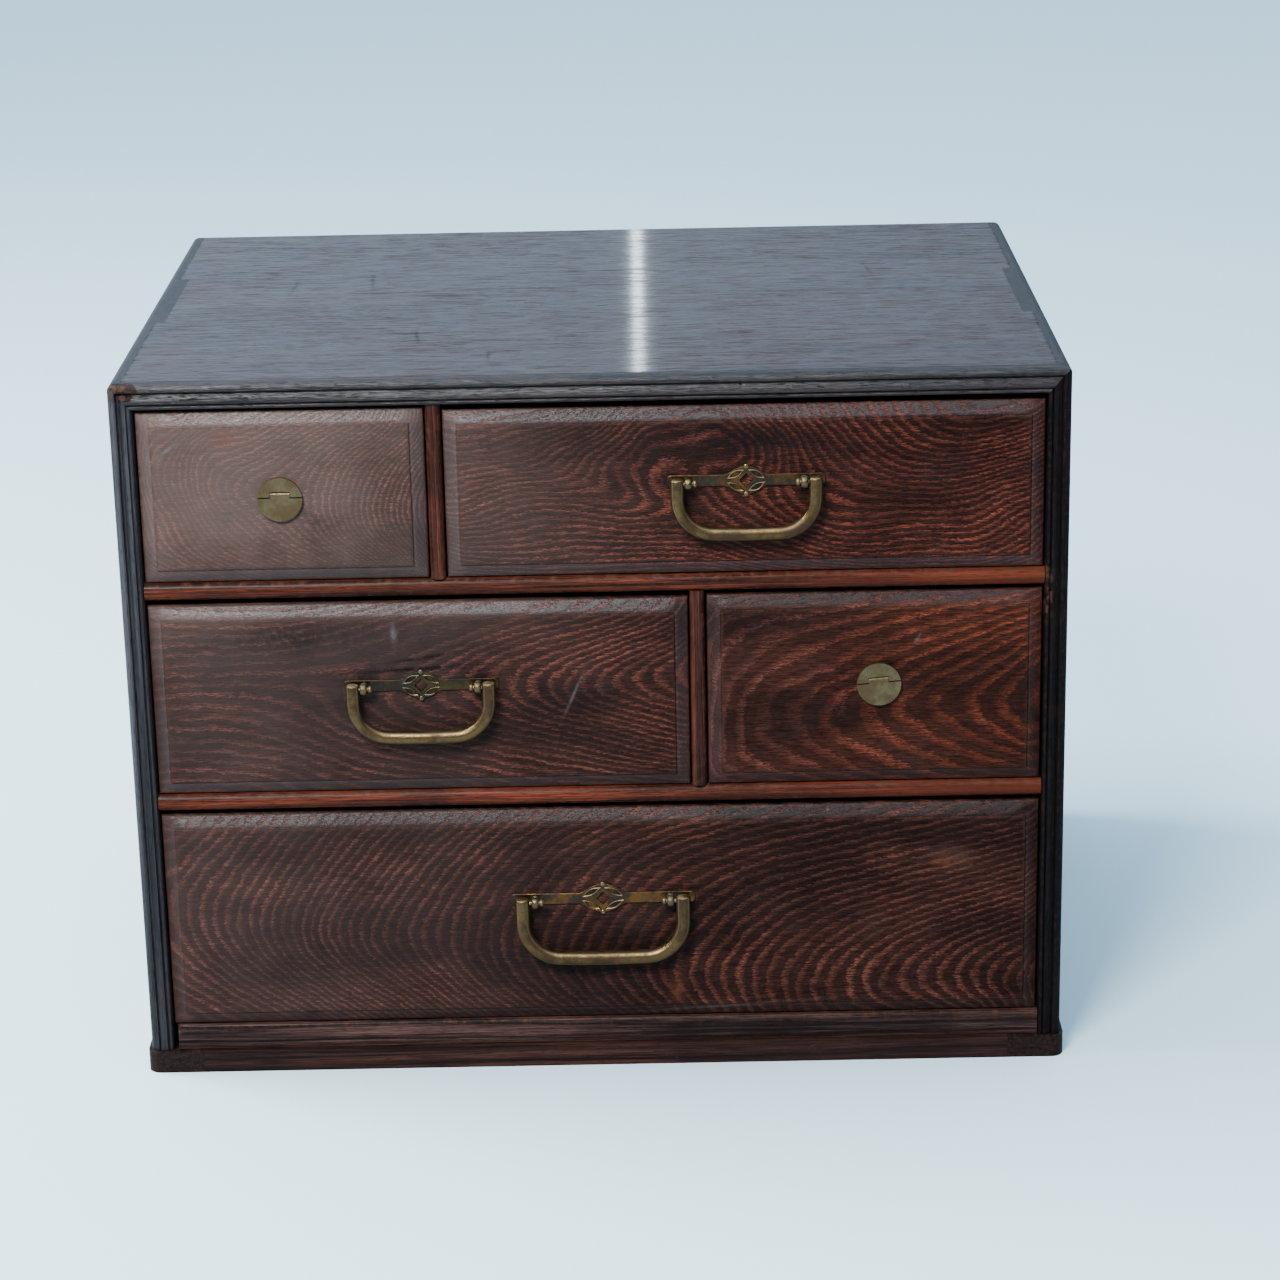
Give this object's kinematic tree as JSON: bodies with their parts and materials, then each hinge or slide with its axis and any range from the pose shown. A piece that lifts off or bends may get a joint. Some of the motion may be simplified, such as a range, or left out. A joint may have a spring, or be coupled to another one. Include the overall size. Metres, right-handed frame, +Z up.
{
  "type": "tabletop chest of drawers",
  "caption": "Low wooden tabletop chest with staggered small and wide drawers, moulded front edge, brass drop handles and round flap pulls",
  "frame": {"origin": "centre of the whole outline, handles included, on the resting plane", "axes": "+X to the right seen from the front, -Y out of the drawer fronts, +Z up"},
  "size_m": [0.373, 0.2847, 0.288],
  "materials": {
    "stained_top": "satin, dark stained, fine straight grain",
    "dark_stained_wood": "satin, nearly black stain with worn edges",
    "stained_rail": "satin, red-brown stain",
    "stained_front": "satin, red-brown stain over bold figured grain",
    "pale_inner_wood": "bare, aged",
    "aged_brass": "worn, olive-gold patina",
    "patinated_plate": "dull brown patina"
  },
  "bodies": {
    "case": {"top_board": "stained_top", "left_side_board": "dark_stained_wood", "right_side_board": "dark_stained_wood", "back_board": "pale_inner_wood", "floor_board": "pale_inner_wood", "front_sill": "stained_rail", "base_front_rail": "stained_rail", "base_left_rail": "stained_rail", "base_right_rail": "stained_rail", "top_moulding": "dark_stained_wood", "left_moulding": "dark_stained_wood", "right_moulding": "dark_stained_wood", "lower_rail": "stained_rail", "upper_rail": "stained_rail", "lower_shelf": "pale_inner_wood", "upper_shelf": "pale_inner_wood", "lower_divider": "stained_rail", "upper_divider": "stained_rail", "lower_partition": "pale_inner_wood", "upper_partition": "pale_inner_wood"},
    "upper_left_drawer": {"upper_left_drawer_front": "stained_front", "upper_left_drawer_left_side": "pale_inner_wood", "upper_left_drawer_right_side": "pale_inner_wood", "upper_left_drawer_back": "pale_inner_wood", "upper_left_drawer_floor": "pale_inner_wood", "upper_left_pull_cup": "aged_brass", "upper_left_pull_pin": "aged_brass"},
    "upper_right_drawer": {"upper_right_drawer_front": "stained_front", "upper_right_drawer_left_side": "pale_inner_wood", "upper_right_drawer_right_side": "pale_inner_wood", "upper_right_drawer_back": "pale_inner_wood", "upper_right_drawer_floor": "pale_inner_wood", "upper_right_handle_plate": "patinated_plate", "upper_right_handle_eyes": "aged_brass"},
    "middle_left_drawer": {"middle_left_drawer_front": "stained_front", "middle_left_drawer_left_side": "pale_inner_wood", "middle_left_drawer_right_side": "pale_inner_wood", "middle_left_drawer_back": "pale_inner_wood", "middle_left_drawer_floor": "pale_inner_wood", "middle_left_handle_plate": "patinated_plate", "middle_left_handle_eyes": "aged_brass"},
    "middle_right_drawer": {"middle_right_drawer_front": "stained_front", "middle_right_drawer_left_side": "pale_inner_wood", "middle_right_drawer_right_side": "pale_inner_wood", "middle_right_drawer_back": "pale_inner_wood", "middle_right_drawer_floor": "pale_inner_wood", "middle_right_pull_cup": "aged_brass", "middle_right_pull_pin": "aged_brass"},
    "bottom_drawer": {"bottom_drawer_front": "stained_front", "bottom_drawer_left_side": "pale_inner_wood", "bottom_drawer_right_side": "pale_inner_wood", "bottom_drawer_back": "pale_inner_wood", "bottom_drawer_floor": "pale_inner_wood", "bottom_handle_plate": "patinated_plate", "bottom_handle_eyes": "aged_brass"},
    "upper_right_bail": {"upper_right_handle_bail": "aged_brass"},
    "middle_left_bail": {"middle_left_handle_bail": "aged_brass"},
    "bottom_bail": {"bottom_handle_bail": "aged_brass"},
    "upper_left_flap": {"upper_left_pull_flap": "aged_brass"},
    "middle_right_flap": {"middle_right_pull_flap": "aged_brass"}
  },
  "joints": [
    {"name": "upper_left_drawer_slide", "type": "slide", "parent": "case", "child": "upper_left_drawer", "axis": [0, -1, 0], "range_m": [0, 0.2]},
    {"name": "upper_right_drawer_slide", "type": "slide", "parent": "case", "child": "upper_right_drawer", "axis": [0, -1, 0], "range_m": [0, 0.2]},
    {"name": "middle_left_drawer_slide", "type": "slide", "parent": "case", "child": "middle_left_drawer", "axis": [0, -1, 0], "range_m": [0, 0.2]},
    {"name": "middle_right_drawer_slide", "type": "slide", "parent": "case", "child": "middle_right_drawer", "axis": [0, -1, 0], "range_m": [0, 0.2]},
    {"name": "bottom_drawer_slide", "type": "slide", "parent": "case", "child": "bottom_drawer", "axis": [0, -1, 0], "range_m": [0, 0.2]},
    {"name": "upper_right_bail_swing", "type": "hinge", "parent": "upper_right_drawer", "child": "upper_right_bail", "pos_m": [0.05955, -0.13985, 0.246], "axis": [-1, 0, 0], "range_deg": [0, 165]},
    {"name": "middle_left_bail_swing", "type": "hinge", "parent": "middle_left_drawer", "child": "middle_left_bail", "pos_m": [-0.06895, -0.13985, 0.165], "axis": [-1, 0, 0], "range_deg": [0, 165]},
    {"name": "bottom_bail_swing", "type": "hinge", "parent": "bottom_drawer", "child": "bottom_bail", "pos_m": [0.0004, -0.13985, 0.0732], "axis": [-1, 0, 0], "range_deg": [0, 165]},
    {"name": "upper_left_flap_lift", "type": "hinge", "parent": "upper_left_drawer", "child": "upper_left_flap", "pos_m": [-0.12045, -0.13585, 0.2438], "axis": [-1, 0, 0], "range_deg": [0, 85]},
    {"name": "middle_right_flap_lift", "type": "hinge", "parent": "middle_right_drawer", "child": "middle_right_flap", "pos_m": [0.1108, -0.13585, 0.16379], "axis": [-0.9969, 0, -0.0785], "range_deg": [0, 85]}
  ]
}
